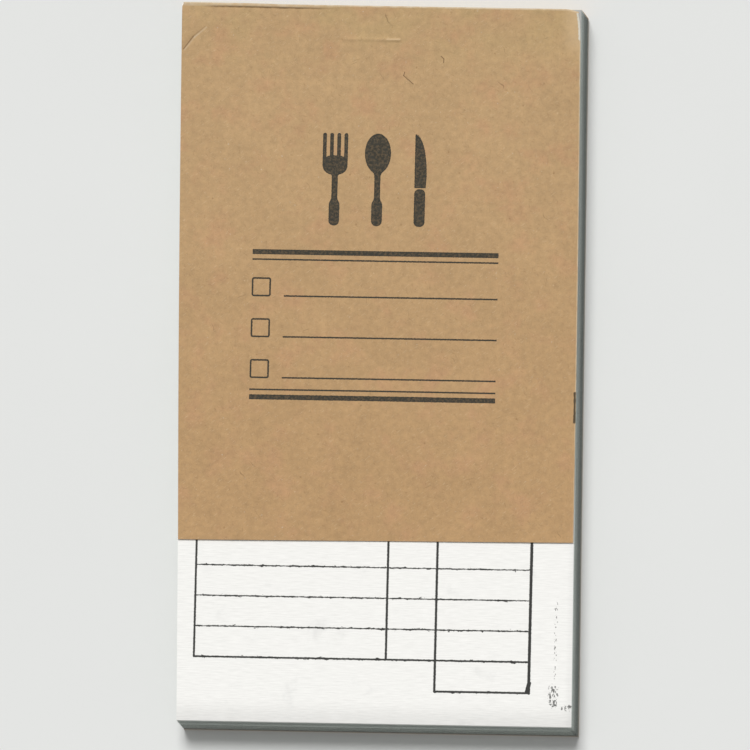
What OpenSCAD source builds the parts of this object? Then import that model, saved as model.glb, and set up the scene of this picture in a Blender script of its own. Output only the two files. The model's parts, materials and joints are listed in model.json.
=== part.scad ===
// Guest check pad: carbonless checks, stapled and glued at the top edge in one kraft wrap.
// X runs to the right of the face, Y towards the bound top edge, and Z up out of the face.
// The origin is under the middle of the pad, on the back of the kraft. Lengths are millimetres.

/* [Pad] */
// Width of a sheet at its bound edge
sheet_w = 79.6; // [70:0.1:110]
// Length over all, from the bottom of the board to the outside of the wrapped edge
pad_l = 145; // [135:1:210]
// Number of checks in the pad, each an original and a copy
sets = 50; // [5:1:50]

/* [Sheets] */
// How far the right-hand side runs to the right, from the bound edge to the bottom edge
side_skew = 1.3; // [0:0.1:3]
// How much narrower a sheet is at its bottom edge, which the left-hand side takes up
side_taper = 1.2; // [0:0.1:3]
// Thickness of one carbonless sheet
leaf_t = 0.065; // [0.05:0.005:0.1]
// Air between two bound sheets
leaf_air = 0.005; // [0.003:0.001:0.01]
// Space over and under a sheet that can be torn off, so that it slides out freely
leaf_clear = 0.02; // [0.01:0.005:0.05]
// How far the stack leans to the right, from the top sheet down to the board
lean_x = 1.1; // [0:0.1:1.5]
// How far the stack leans towards the bottom edge, from the top sheet down to the board
lean_y = 0.9; // [0:0.1:1.5]
// How far a check may lie off its place in the stack, either way
scatter = 0.1; // [0:0.02:0.2]

/* [Perforation] */
// Distance of the perforation from the outside of the wrapped edge
stub_l = 10; // [8:0.5:16]
// Length of one slit
slit_l = 3; // [2:0.25:5]
// Width of one slit
slit_w = 0.2; // [0.1:0.05:0.4]
// Length of paper left between two slits
tie_l = 1.2; // [0.8:0.1:2]

/* [Kraft wrap] */
// Thickness of the kraft paper
kraft_t = 0.18; // [0.1:0.02:0.3]
// Length of the front cover below its crease, at its right-hand side
cover_l = 107.2; // [90:0.1:125]
// How much longer the front cover is at its left-hand side
cover_skew = 0.7; // [0:0.1:3]
// How far the front cover stops short of the top sheet's right-hand edge
cover_inset = 0.1; // [0:0.1:1]
// Space between the front cover and the top sheet
cover_gap = 0.1; // [0.05:0.05:0.3]
// Space at the crease between the front cover and the kraft over the edge
crease_gap = 0.05; // [0.03:0.01:0.1]

/* [Board and glue] */
// Thickness of the backing board
board_t = 0.8; // [0.7:0.05:1.5]
// Thickness of the film of padding glue along the bound edge
glue_t = 0.12; // [0.05:0.01:0.3]

/* [Staple] */
// Diameter of the wire
wire_d = 0.45; // [0.3:0.05:0.5]
// Length of the crown, between the middles of the legs
crown_l = 11; // [8:0.5:16]
// Distance of the crown from the outside of the wrapped edge
crown_from_edge = 7; // [3:0.25:7.5]
// How far the crown's middle lies to the right of the pad's middle
crown_x = -3; // [-8:0.5:8]
// Length of each end that is bent over under the board
clinch_l = 4; // [2:0.25:5]
// Space round the wire in the sheets and the board
wire_clear = 0.05; // [0.03:0.01:0.1]
// Space round the crown in the ridge that it raises in the front cover
ridge_clear = 0.15; // [0.1:0.05:0.3]

/* [Hidden] */

kraft_colour = [0.73, 0.6, 0.44];
original_colour = [0.95, 0.945, 0.93];
copy_colour = [0.86, 0.92, 0.86];
board_colour = [0.62, 0.61, 0.58];
glue_colour = [0.9, 0.89, 0.84];
wire_colour = [0.72, 0.72, 0.73];

// Outside of the wrapped edge, its inside, and the bound edge of the sheets
edge_y = pad_l / 2;
wrap_inside_y = edge_y - kraft_t;
bound_y = wrap_inside_y - glue_t;
tear_y = edge_y - stub_l;
crown_y = edge_y - crown_from_edge;

// Width over all, and a sheet's edges at the bound edge where the stack doesn't lean yet.
// The sheets lie within the board by their scatter.
pad_w = sheet_w + 2 * scatter + lean_x + side_skew;
stack_left = -pad_w / 2 + scatter;
stack_right = stack_left + sheet_w;
stack_bottom = -pad_l / 2 + scatter + lean_y;
board_left = stack_left - scatter + lean_x;
board_right = stack_right + scatter + lean_x;
cover_right = stack_right - cover_inset;

// Heights, from the back of the kraft upwards
board_z = kraft_t;
stack_z = board_z + board_t;
set_t = 2 * (leaf_t + leaf_air);
bound_top_z = stack_z + (sets - 1) * set_t;
copy_z = bound_top_z + leaf_clear;
original_z = copy_z + leaf_t + leaf_clear;
top_z = original_z + leaf_t;
cover_z = top_z + cover_gap;

// The wire's bends turn just above the bound checks, and just inside the board
wire_r = wire_d / 2;
hole_r = wire_r + wire_clear;
bend_r = wire_r + wire_clear;
crown_z = bound_top_z + wire_clear + wire_r;
clinch_z = board_z + wire_clear + wire_r;
groove_top_z = clinch_z + bend_r + wire_clear;
ridge_ceiling_z = crown_z + wire_r + ridge_clear;
ridge_r = wire_r + ridge_clear;

// Slits along the perforation, centred on the sheet
slit_pitch = slit_l + tie_l;
slits = floor((sheet_w - tie_l) / slit_pitch);
first_slit_x = stack_left
    + (left_run(tear_y) + right_run(tear_y) + sheet_w - slits * slit_pitch + tie_l) / 2;

// Golden angle, which spreads the checks' offsets evenly
spread_angle = 137.5;
bottom_phase = 60;

$fn = 48;

function set_name(i) = str("check_set_", i < 10 ? "0" : "", i);

// How much of the lean there is at a height: none at the front cover, all of it under the board
function lean(z) = (cover_z - z) / (cover_z - board_z);

// How far each trimmed side has run to the right at a distance along the pad
function right_run(y) = side_skew * (edge_y - y) / pad_l;
function left_run(y) = (side_skew + side_taper) * (edge_y - y) / pad_l;

// How far a check lies off its place. The top check lies true.
function scatter_x(i) = i == 1 ? 0 : scatter * sin(i * spread_angle);
function scatter_y(i) = i == 1 ? 0 : scatter * sin(i * spread_angle * 2 + bottom_phase);

// A flat piece between its trimmed sides, which may be longer at its left-hand side
module trimmed(left, bottom, right, top, longer = 0) {
    polygon([
        [left + left_run(bottom - longer), bottom - longer],
        [right + right_run(bottom), bottom],
        [right + right_run(top), top],
        [left + left_run(top), top]
    ]);
}

// The row of slits of the perforation
module perforation() {
    for (i = [0 : slits - 1])
        translate([first_slit_x + i * slit_pitch, tear_y - slit_w])
            square([slit_l, slit_w]);
}

// Moves a flat shape along the lean, for a sheet of a check at a height
module leaning(z, i = 1) {
    translate([lean_x * lean(z) + scatter_x(i), -lean_y * lean(z)])
        children();
}

// A panel along the bound edge, which leans with the stack from the back cover to its top
module edge_panel(outer_y, thick, right, top) {
    foot = lean(board_z);
    head = lean(top);
    intersection() {
        translate([-pad_w, 0, 0])
            rotate([90, 0, 90])
                linear_extrude(2 * pad_w)
                    polygon([
                        [outer_y - thick - lean_y * foot, board_z],
                        [outer_y - lean_y * foot, board_z],
                        [outer_y - lean_y * head, top],
                        [outer_y - thick - lean_y * head, top]
                    ]);
        translate([0, pad_l, 0])
            rotate([90, 0, 0])
                linear_extrude(2 * pad_l)
                    polygon([
                        [stack_left + lean_x * foot, board_z],
                        [right + lean_x * foot, board_z],
                        [right + lean_x * head, top],
                        [stack_left + lean_x * head, top]
                    ]);
    }
}

// The two places where the staple's legs pass through
module at_legs() {
    for (side = [-1, 1])
        translate([crown_x + side * crown_l / 2, crown_y])
            children();
}

// A flat bar with round ends round the crown's line
module crown_bar(radius) {
    at_legs()
        circle(radius);
    translate([crown_x - crown_l / 2, crown_y - radius])
        square([crown_l, 2 * radius]);
}

// The back of the wrap, which the pad lies on
module back_cover() {
    color(kraft_colour)
        linear_extrude(kraft_t)
            trimmed(board_left, -pad_l / 2, board_right, edge_y - lean_y);
}

// The wrap over the bound edge, up to the crease
module spine_strip() {
    color(kraft_colour)
        edge_panel(edge_y, kraft_t, cover_right, cover_z - crease_gap);
}

// The front of the wrap, with the ridge that the staple's crown raises in it
module front_cover() {
    color(kraft_colour)
        difference() {
            union() {
                translate([0, 0, cover_z])
                    linear_extrude(kraft_t)
                        trimmed(stack_left, edge_y - cover_l, cover_right, edge_y - crease_gap, cover_skew);
                translate([0, 0, cover_z])
                    linear_extrude(ridge_ceiling_z + kraft_t - cover_z)
                        crown_bar(ridge_r + kraft_t);
            }
            translate([0, 0, cover_z - kraft_t])
                linear_extrude(ridge_ceiling_z - cover_z + kraft_t)
                    crown_bar(ridge_r);
        }
}

// The stiff board, with the groove that the bent ends of the staple lie in
module backing_board() {
    color(board_colour)
        translate([0, 0, board_z])
            difference() {
                linear_extrude(board_t)
                    difference() {
                        trimmed(board_left, -pad_l / 2, board_right, bound_y - lean_y);
                        at_legs()
                            circle(hole_r);
                    }
                translate([0, 0, -board_t])
                    linear_extrude(board_t + groove_top_z - board_z)
                        crown_bar(hole_r);
            }
}

// The film of glue between the sheets' edges and the kraft
module spine_glue() {
    color(glue_colour)
        edge_panel(wrap_inside_y, glue_t, stack_right, top_z);
}

// A quarter turn of wire from straight down to straight along X
module wire_bend() {
    rotate([90, 0, 0])
        rotate_extrude(angle = 90)
            translate([bend_r, 0])
                circle(wire_r);
}

// One half of the staple, from the middle of its crown to the end of its clinch
module half_staple() {
    leg_x = crown_l / 2;
    translate([0, 0, crown_z])
        rotate([0, 90, 0])
            cylinder(r = wire_r, h = leg_x - bend_r);
    translate([leg_x - bend_r, 0, crown_z - bend_r])
        wire_bend();
    translate([leg_x, 0, clinch_z + bend_r])
        cylinder(r = wire_r, h = crown_z - clinch_z - 2 * bend_r);
    translate([leg_x - bend_r, 0, clinch_z + bend_r])
        mirror([0, 0, 1])
            wire_bend();
    translate([leg_x - clinch_l, 0, clinch_z])
        rotate([0, 90, 0])
            cylinder(r = wire_r, h = clinch_l - bend_r);
}

// The staple: its crown over the stubs, its legs through the stack, its ends bent over below
module staple() {
    color(wire_colour)
        translate([crown_x, crown_y, 0]) {
            half_staple();
            mirror([1, 0, 0])
                half_staple();
        }
}

// The part of a top sheet that tears off, with the paper ties that stand between the slits
module tear_off(z) {
    translate([0, 0, z])
        linear_extrude(leaf_t)
            leaning(z)
                difference() {
                    trimmed(stack_left, stack_bottom, stack_right, tear_y);
                    perforation();
                }
}

// The part of a top sheet that stays bound, pressed apart by the crown
module stub(z) {
    translate([0, 0, z])
        linear_extrude(leaf_t)
            difference() {
                leaning(z)
                    trimmed(stack_left, tear_y, stack_right, bound_y);
                crown_bar(hole_r);
            }
}

module top_original() {
    color(original_colour)
        tear_off(original_z);
}

module original_stub() {
    color(original_colour)
        stub(original_z);
}

module top_copy() {
    color(copy_colour)
        tear_off(copy_z);
}

module copy_stub() {
    color(copy_colour)
        stub(copy_z);
}

// One sheet of a bound check, whole, with its slits and the holes of the staple's legs
module bound_leaf(z, i) {
    translate([0, 0, z])
        linear_extrude(leaf_t)
            difference() {
                leaning(z, i)
                    difference() {
                        trimmed(stack_left, stack_bottom + scatter_y(i), stack_right, bound_y);
                        perforation();
                    }
                at_legs()
                    circle(hole_r);
            }
}

// A bound check: its original on top of its copy, each over its film of air
module check_set(i) {
    set_z = bound_top_z - (i - 1) * set_t;
    color(copy_colour)
        bound_leaf(set_z + leaf_air, i);
    color(original_colour)
        bound_leaf(set_z + set_t - leaf_t, i);
}

back_cover();
spine_strip();
front_cover();
backing_board();
spine_glue();
staple();
top_original();
original_stub();
top_copy();
copy_stub();
for (i = [2 : sets])
    check_set(i);
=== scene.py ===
"""Guest check pad: the looks of its paper, board, glue and wire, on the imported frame."""

import json
from math import atan2, cos, exp, inf, pi, radians, sin, tan

import bmesh
import bpy
from mathutils import Matrix, Vector


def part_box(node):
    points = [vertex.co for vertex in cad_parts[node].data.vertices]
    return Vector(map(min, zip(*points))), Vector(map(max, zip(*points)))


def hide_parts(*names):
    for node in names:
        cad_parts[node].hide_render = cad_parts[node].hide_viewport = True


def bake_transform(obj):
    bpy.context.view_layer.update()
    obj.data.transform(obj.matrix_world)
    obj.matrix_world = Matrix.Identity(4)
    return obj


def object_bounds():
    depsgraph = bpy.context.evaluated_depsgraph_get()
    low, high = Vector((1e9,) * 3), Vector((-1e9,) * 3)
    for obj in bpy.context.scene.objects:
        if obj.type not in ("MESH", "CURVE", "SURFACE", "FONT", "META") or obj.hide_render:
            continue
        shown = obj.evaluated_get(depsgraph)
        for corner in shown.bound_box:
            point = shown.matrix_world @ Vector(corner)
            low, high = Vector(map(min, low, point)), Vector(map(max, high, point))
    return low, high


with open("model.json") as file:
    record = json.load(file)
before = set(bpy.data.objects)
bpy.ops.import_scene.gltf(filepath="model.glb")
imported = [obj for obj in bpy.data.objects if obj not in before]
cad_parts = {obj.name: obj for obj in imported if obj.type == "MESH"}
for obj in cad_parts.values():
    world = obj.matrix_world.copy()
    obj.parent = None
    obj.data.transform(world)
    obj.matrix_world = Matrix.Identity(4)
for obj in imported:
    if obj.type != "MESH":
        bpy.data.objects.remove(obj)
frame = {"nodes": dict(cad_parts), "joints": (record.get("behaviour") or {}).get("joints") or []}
cad_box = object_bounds()

MM = 0.001


# Sizes taken from the frame

def corner(node, along_x, along_y):
    """The vertex of a node that lies furthest in a diagonal direction."""
    vertices = frame["nodes"][node].data.vertices
    return max((v.co for v in vertices), key=lambda co: along_x * co.x + along_y * co.y).copy()


hinge = next(joint for joint in frame["joints"] if joint["name"] == "cover_flip")
edge_y, cover_z = hinge["pos_m"][1:]
outer_y = cad_box[1].y
back_low, back_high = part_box("back_cover")
staple_low, staple_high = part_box("staple")
board_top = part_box("backing_board")[1].z
last_set_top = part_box("check_set_50")[1].z
second_set_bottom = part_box("check_set_02")[0].z
kraft_t = back_high.z - back_low.z
set_t = last_set_top - board_top
wire_d = staple_high.y - staple_low.y
staple_y = (staple_low.y + staple_high.y) / 2
staple_x = (staple_low.x + staple_high.x) / 2
crown_half = (staple_high.x - staple_low.x - wire_d) / 2

# Corners of the kraft, each on the left and on the right
SIDES = (-1, 1)
cover_heads = [corner("front_cover", side, 1) for side in SIDES]
cover_feet = [corner("front_cover", side, -1) for side in SIDES]
back_heads = [corner("back_cover", side, 1) for side in SIDES]
back_feet = [corner("back_cover", side, -1) for side in SIDES]


# The fold of the kraft wrap: it turns over the bound edge, leans in down the spine and turns again

FOLD_R = 0.25 * MM
FOOT_R = 0.25 * MM

half_t = kraft_t / 2
front_z = cover_z + half_t
fold_y = outer_y - half_t - FOLD_R
fold_turn = pi / 2 + atan2(edge_y - back_high.y, cover_z - kraft_t)
fold_l = FOLD_R * fold_turn
foot_l = FOOT_R * (pi - fold_turn)
turn_drop = FOLD_R * (1 - cos(fold_turn)) + FOOT_R * (1 + cos(fold_turn))
spine_l = (front_z - half_t - turn_drop) / sin(fold_turn)
spine_end_y = fold_y + (FOLD_R - FOOT_R) * sin(fold_turn) + spine_l * cos(fold_turn)
wrap_w = cover_heads[1].x - cover_heads[0].x
front_l = fold_y - cover_feet[1].y
turns_l = fold_l + spine_l + foot_l
back_l = spine_end_y - back_low.y


# Short names for shader nodes

class Finish:
    """One material and the few kinds of node that its finish is made of."""

    def __init__(self, name, roughness=0.8, specular=0.3):
        self.material = bpy.data.materials.new(name)
        self.material.use_nodes = True
        self.tree = self.material.node_tree
        self.shader = self.tree.nodes["Principled BSDF"]
        self.shader.inputs["Roughness"].default_value = roughness
        self.shader.inputs["Specular IOR Level"].default_value = specular

    def plug(self, socket, value):
        if isinstance(value, bpy.types.NodeSocket):
            self.tree.links.new(value, socket)
        else:
            socket.default_value = value

    def node(self, kind, values=(), **settings):
        """A node with its settings, and with values for its inputs, by their names or in order."""
        node = self.tree.nodes.new(kind)
        for key, setting in settings.items():
            setattr(node, key, setting)
        for key, value in values.items() if isinstance(values, dict) else enumerate(values):
            self.plug(node.inputs[key], value)
        return node

    def math(self, operation, *values):
        return self.node("ShaderNodeMath", values, operation=operation).outputs[0]

    def vector(self, operation, *values):
        node = self.node("ShaderNodeVectorMath", values, operation=operation)
        return node.outputs["Value" if operation == "LENGTH" else "Vector"]

    def chained(self, operation, values, *more):
        """The first value taken through one operation with each of the others in turn."""
        result = values[0]
        for value in values[1:]:
            result = self.math(operation, result, value, *more)
        return result

    def product(self, *values):
        return self.chained("MULTIPLY", values)

    def greatest(self, values):
        return self.chained("MAXIMUM", values)

    def nearest(self, distances, fillet=0.0):
        """The least of some distances, with fillets where their shapes meet."""
        return self.chained("SMOOTH_MIN", distances, fillet)

    def joined(self, *values):
        return self.node("ShaderNodeCombineXYZ", values).outputs[0]

    def split(self, vector):
        return self.node("ShaderNodeSeparateXYZ", [vector]).outputs

    def object_mm(self):
        """The place on the piece, in millimetres of the pad's frame."""
        place = self.node("ShaderNodeTexCoord").outputs["Object"]
        return self.vector("MULTIPLY", place, (1 / MM, 1 / MM, 1 / MM))

    def turned(self, place, angle, middle=(0.0, 0.0)):
        """A place turned about a point of the sheet."""
        values = {"Vector": place, "Center": (*middle, 0.0), "Angle": angle}
        return self.node("ShaderNodeVectorRotate", values, rotation_type="Z_AXIS").outputs[0]

    def noise(self, place, scale, detail=2.0, rough=0.5):
        values = {"Vector": place, "Scale": scale, "Detail": detail, "Roughness": rough}
        return self.node("ShaderNodeTexNoise", values).outputs[0]

    def streaks(self, place, scale, detail=2.0, rough=0.5, turn=0):
        """Noise with its own scale along each axis, turned about Z by some degrees."""
        if turn:
            place = self.turned(place, radians(turn))
        return self.noise(self.vector("MULTIPLY", place, scale), 1.0, detail, rough)

    def dots(self, place, pitch, radius, share):
        """1 in scattered round dots, one to a cell of the pitch, in a share of the cells."""
        node = self.node("ShaderNodeTexVoronoi", {"Vector": place, "Scale": 1 / pitch})
        chosen = self.math("LESS_THAN", self.split(node.outputs["Color"])[0], share)
        dot = self.ramp(node.outputs["Distance"], 0.5 * radius / pitch, radius / pitch, 1.0, 0.0)
        return self.math("MULTIPLY", dot, chosen)

    def ramp(self, value, low, high, to_low=0.0, to_high=1.0):
        """A value mapped smoothly from low..high to to_low..to_high."""
        values = {"Value": value, "From Min": low, "From Max": high, "To Min": to_low, "To Max": to_high}
        return self.node("ShaderNodeMapRange", values, interpolation_type="SMOOTHSTEP").outputs[0]

    def around(self, value, contrast, middle=0.0):
        """A value from 0 to 1 as a change about a middle, with the given contrast from end to end."""
        return self.math("MULTIPLY_ADD", value, contrast, middle - contrast / 2)

    def band(self, value, middle, half, soft):
        """1 within half of the middle, and 0 past half + soft."""
        away = self.math("ABSOLUTE", self.math("SUBTRACT", value, middle))
        return self.ramp(away, half, half + soft, 1.0, 0.0)

    def blend(self, factor, first, second):
        values = {0: factor, 6: first, 7: second}
        return self.node("ShaderNodeMix", values, data_type="RGBA").outputs[2]

    def marked(self, colour, tint, strength, distance, full, gone):
        """A colour with a mark on it: at its strength up to one distance, and gone at another."""
        return self.blend(self.ramp(distance, full, gone, strength, 0.0), colour, tint)

    def toned(self, colour, tone):
        """A colour made lighter or darker by a tone about 1."""
        return self.vector("MULTIPLY", colour, self.joined(tone, tone, tone))

    def rectangle(self, place, middle, half, round_by=0.0):
        """Distance from a rectangle with round corners, less than 0 inside it."""
        past = self.vector("ABSOLUTE", self.vector("SUBTRACT", place, (*middle, 0.0)))
        past = self.vector("SUBTRACT", past, (half[0] - round_by, half[1] - round_by, 1e6))
        across, along, _ = self.split(past)
        within = self.math("MINIMUM", self.math("MAXIMUM", across, along), 0.0)
        beyond = self.vector("LENGTH", self.vector("MAXIMUM", past, (0.0, 0.0, 0.0)))
        return self.math("SUBTRACT", self.math("ADD", beyond, within), round_by)

    def stroke(self, place, start, end, half):
        """Distance from a straight stroke with round ends."""
        middle = [(a + b) / 2 for a, b in zip(start, end)]
        run, rise = end[0] - start[0], end[1] - start[1]
        level = self.turned(place, -atan2(rise, run), middle)
        half_l = (run * run + rise * rise) ** 0.5 / 2 + half
        return self.rectangle(level, middle, (half_l, half), half)

    def ellipse(self, place, middle, half):
        """Distance from an ellipse, true near its outline."""
        past = self.vector("SUBTRACT", place, (*middle, 0.0))
        past = self.vector("MULTIPLY", past, (1 / half[0], 1 / half[1], 0.0))
        return self.math("MULTIPLY_ADD", self.vector("LENGTH", past), half[0], -half[0])

    def bump(self, height, depth):
        """Relief of a height from 0 to 1, with its full depth in millimetres."""
        values = {"Strength": 1.0, "Distance": depth * MM, "Height": height}
        self.plug(self.shader.inputs["Normal"], self.node("ShaderNodeBump", values).outputs[0])

    def roughness(self, value):
        self.plug(self.shader.inputs["Roughness"], value)

    def done(self, colour):
        self.plug(self.shader.inputs["Base Color"], colour)
        return self.material


def linear(red, green, blue):
    """A colour as a screen shows it, from 0 to 255, in linear light."""
    shares = (value / 255 for value in (red, green, blue))
    return (*(((s + 0.055) / 1.055) ** 2.4 if s > 0.04045 else s / 12.92 for s in shares), 1.0)


# Print on the cover, in millimetres of the pad's frame: cutlery over writing lines

COVER_INK = linear(34, 37, 32)
COVER_MIDDLE = -1.2

CUTLERY_FOOT = 28.0
CUTLERY_PITCH = 8.5
# Each shape's middle above the foot, half its size and the radius of its corners
GRIP = (2.6, (1.05, 2.6), 1.0)
NECK = (6.4, (0.6, 5.4), 0.5)
FORK_HEAD = (12.2, (2.5, 1.9), 1.8)
TINE = (15.4, (0.37, 3.2), 0.36)
KNIFE_GRIP = (3.8, (1.1, 3.8), 1.0)
BLADE = (13.2, (1.2, 5.4), 0.1)
# The same for two ellipses, which have no corners
BOWL = (14.6, (2.6, 4.0))
BELLY = (10.6, (2.4, 8.0))
TINES = 4
TINE_PITCH = 1.42
FORK_FILLET = 0.8
SPOON_FILLET = 1.0
BLADE_SHIFT = 0.1
BELLY_SHIFT = -1.1

# Two double rules, and lines between them that each have a box at their left
RULE_Y = 22.5
RULE_GAP = 1.5
BOLD_HALF = 0.5
FINE_HALF = 0.16
LINE_HALF = 24.5
LINE_PITCH = 8.2
LINE_ROWS = 3
LINE_DROP = 0.6
LINE_INDENT = 3.2
LAST_RULE_ROWS = LINE_ROWS + 0.55
BOX_HALF = 1.75
BOX_MIDDLE = 1.9
BOX_ROUND = 0.3
BOX_PEN = 0.17

# How ragged the outlines are, where the squeezed-out rims lie, and how much ink there is
INK_RAGGED = 0.20
INK_SOFT = 0.05
INK_RIM = (-0.36, -0.14)
INK_FULL = 0.97
INK_THIN = 0.82


def upright(finish, place, x, shape):
    """Distance from one shape of the cutlery."""
    rise, half, corner_r = shape
    return finish.rectangle(place, (x, CUTLERY_FOOT + rise), half, corner_r)


def cutlery(finish, place):
    """Distance from a fork, a spoon and a knife, upright and side by side."""
    fork_x, spoon_x, knife_x = (COVER_MIDDLE + step * CUTLERY_PITCH for step in (-1, 0, 1))
    fork = [upright(finish, place, fork_x, shape) for shape in (GRIP, NECK, FORK_HEAD)]
    tine_steps = [step - (TINES - 1) / 2 for step in range(TINES)]
    tines = [upright(finish, place, fork_x + step * TINE_PITCH, TINE) for step in tine_steps]

    spoon = [upright(finish, place, spoon_x, shape) for shape in (GRIP, NECK)]
    spoon.append(finish.ellipse(place, (spoon_x, CUTLERY_FOOT + BOWL[0]), BOWL[1]))

    knife_grip = upright(finish, place, knife_x, KNIFE_GRIP)
    blade = upright(finish, place, knife_x + BLADE_SHIFT, BLADE)
    belly = finish.ellipse(place, (knife_x + BELLY_SHIFT, CUTLERY_FOOT + BELLY[0]), BELLY[1])
    blade = finish.math("MAXIMUM", blade, belly)

    fork, spoon = finish.nearest(fork, FORK_FILLET), finish.nearest(spoon, SPOON_FILLET)
    return finish.nearest([fork, *tines, spoon, knife_grip, blade])


def writing_lines(finish, place):
    """Distance from two double rules and the writing lines between them, each with its square box."""
    ink = []
    last_rule = RULE_Y - LAST_RULE_ROWS * LINE_PITCH
    for bold_y, fine_y in ((RULE_Y, RULE_Y - RULE_GAP), (last_rule, last_rule + RULE_GAP)):
        ink.append(finish.rectangle(place, (COVER_MIDDLE, bold_y), (LINE_HALF, BOLD_HALF)))
        ink.append(finish.rectangle(place, (COVER_MIDDLE, fine_y), (LINE_HALF, FINE_HALF)))
    for row in range(1, LINE_ROWS + 1):
        line_y = RULE_Y - LINE_DROP - row * LINE_PITCH
        line_middle = (COVER_MIDDLE + LINE_INDENT, line_y)
        ink.append(finish.rectangle(place, line_middle, (LINE_HALF - LINE_INDENT, FINE_HALF)))
        box_middle = (COVER_MIDDLE - LINE_HALF + BOX_MIDDLE, line_y + BOX_HALF)
        box = finish.rectangle(place, box_middle, (BOX_HALF, BOX_HALF), BOX_ROUND)
        ink.append(finish.math("SUBTRACT", finish.math("ABSOLUTE", box), BOX_PEN))
    return finish.nearest(ink)


def cover_ink(finish, place):
    """How much ink lies at a place: thin and patchy within the shapes, squeezed out to their rims."""
    ragged = finish.around(finish.noise(place, 4.0), INK_RAGGED)
    shapes = finish.nearest([cutlery(finish, place), writing_lines(finish, place)])
    shapes = finish.math("ADD", shapes, ragged)
    rim = finish.ramp(shapes, *INK_RIM, 0.0, INK_FULL)
    patchy = finish.ramp(finish.noise(place, 1.9, 3.0, 0.7), 0.36, 0.58, INK_THIN, INK_FULL)
    inked = finish.ramp(shapes, -INK_SOFT, INK_SOFT, 1.0, 0.0)
    return finish.product(inked, finish.math("MAXIMUM", rim, patchy))


# Wear on the kraft, painted shade in its creases and painted highlights on its raised places, in
# millimetres of the pad's frame

KRAFT_LIGHT = linear(210, 182, 144)
KRAFT_RUBBED_AND_HIGHLIGHT = linear(206, 190, 163)
KRAFT_FRAYED = linear(214, 212, 200)
CREASE_SHADE_TINT = linear(104, 78, 50)
HAIR = linear(84, 62, 38)

# The crease beside the fold: its place, and where it fades in on the left and out on the right
CREASE_Y = 71.62
CREASE_LEFT = (-38.5, -32.0)
CREASE_RIGHT = (-19.0, -8.0)
CREASE_BAND = (0.04, 0.2)
CREASE_SHADE = 0.8
# Pale bands past the crease and past the start of the fold, partly rubbed and partly painted highlight:
# each one's middle, half width and softness
ROLL_BAND = (CREASE_Y + 0.5, 0.22, 0.3)
ROLL_HIGHLIGHT = 0.6
FOLD_BAND = (fold_y / MM + 0.24, 0.12, 0.22)
# The crease of a turned corner, in two strokes, and for each of them how much painted shade lies in it
# and how much painted highlight beside it
EAR_CREASE = ((-40.5, 63.0), (-38.6, 65.6), (-36.3, 67.6))
EAR_SHADE_AND_HIGHLIGHT = ((0.62, 0.5), (0.26, 0.6))
EAR_HIGHLIGHT_SHIFT = (0.22, -0.18)
# A painted highlight on the ridge over the staple's end: where it runs from and to along the wire, and
# how far above it
STAPLE_HIGHLIGHT = (-2.4, 0.1)
STAPLE_HIGHLIGHT_RISE = (0.07, 0.12)
# The cover's sides bow out. The right-hand one is rubbed, less so lower down, and its corner is frayed
SIDE_BOW = 0.19 * MM
EDGE_RUB = (0.06, 0.30)
EDGE_RUB_FADE = (-30.0, 10.0)
FRAYED_EDGE = ((38.55, 66.5), (38.45, 71.9))
# Two bent dark fibres, and a painted shadow on the edge where it lifts
LONG_FIBRES = (
    ((3.73, 59.05), (3.55, 58.34)),
    ((3.55, 58.34), (5.48, 56.70)),
    ((10.93, 62.37), (11.50, 61.82)),
    ((11.50, 61.82), (11.44, 61.09)),
)
LIFTED_EDGE_SHADOW = ((39.1, -4.8), (39.15, -10.6))


def fold_wear_and_painted_light(finish, place, unevenness, colour):
    """The fold paler, partly rubbed and partly painted highlight, most of all where it stands up beside
    the crease, and painted shade in the crease.
    """
    across, along, _ = finish.split(place)
    rolled = finish.ramp(across, *CREASE_RIGHT, ROLL_HIGHLIGHT, 0.0)
    rolled = finish.product(rolled, finish.band(along, *ROLL_BAND))
    rub = finish.math("MAXIMUM", finish.band(along, *FOLD_BAND), rolled)
    rub = finish.product(unevenness, rub)
    colour = finish.blend(rub, colour, KRAFT_RUBBED_AND_HIGHLIGHT)

    # Painted shade in the crease, fading in on the left and out on the right
    starts, ends = finish.ramp(across, *CREASE_LEFT), finish.ramp(across, *CREASE_RIGHT, 1.0, 0.0)
    crease = finish.band(along, CREASE_Y, *CREASE_BAND)
    return finish.blend(finish.product(starts, ends, CREASE_SHADE, unevenness, crease), colour, CREASE_SHADE_TINT)


def ear_crease_shade_and_highlight(finish, place, unevenness, colour):
    """Painted shade in the crease of the turned corner, and a painted highlight beside it."""
    for start, end, (shaded, highlighted) in zip(EAR_CREASE, EAR_CREASE[1:], EAR_SHADE_AND_HIGHLIGHT):
        crease = finish.stroke(place, start, end, 0.05)
        colour = finish.marked(colour, CREASE_SHADE_TINT, shaded, crease, -0.03, 0.14)
        beside = [[at + shift for at, shift in zip(point, EAR_HIGHLIGHT_SHIFT)] for point in (start, end)]
        pale = finish.ramp(finish.stroke(place, *beside, 0.06), -0.03, 0.2, highlighted, 0.0)
        colour = finish.blend(finish.product(pale, unevenness), colour, KRAFT_RUBBED_AND_HIGHLIGHT)
    return colour


def staple_ridge_highlight(finish, place, colour):
    """A painted highlight on the upper side of the ridge that the staple's end lifts."""
    end_x, wire_y = (staple_x + crown_half) / MM, staple_y / MM
    ends = [(end_x + run, wire_y + rise) for run, rise in zip(STAPLE_HIGHLIGHT, STAPLE_HIGHLIGHT_RISE)]
    return finish.marked(colour, KRAFT_LIGHT, 0.75, finish.stroke(place, *ends, 0.1), -0.1, 0.22)


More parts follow.
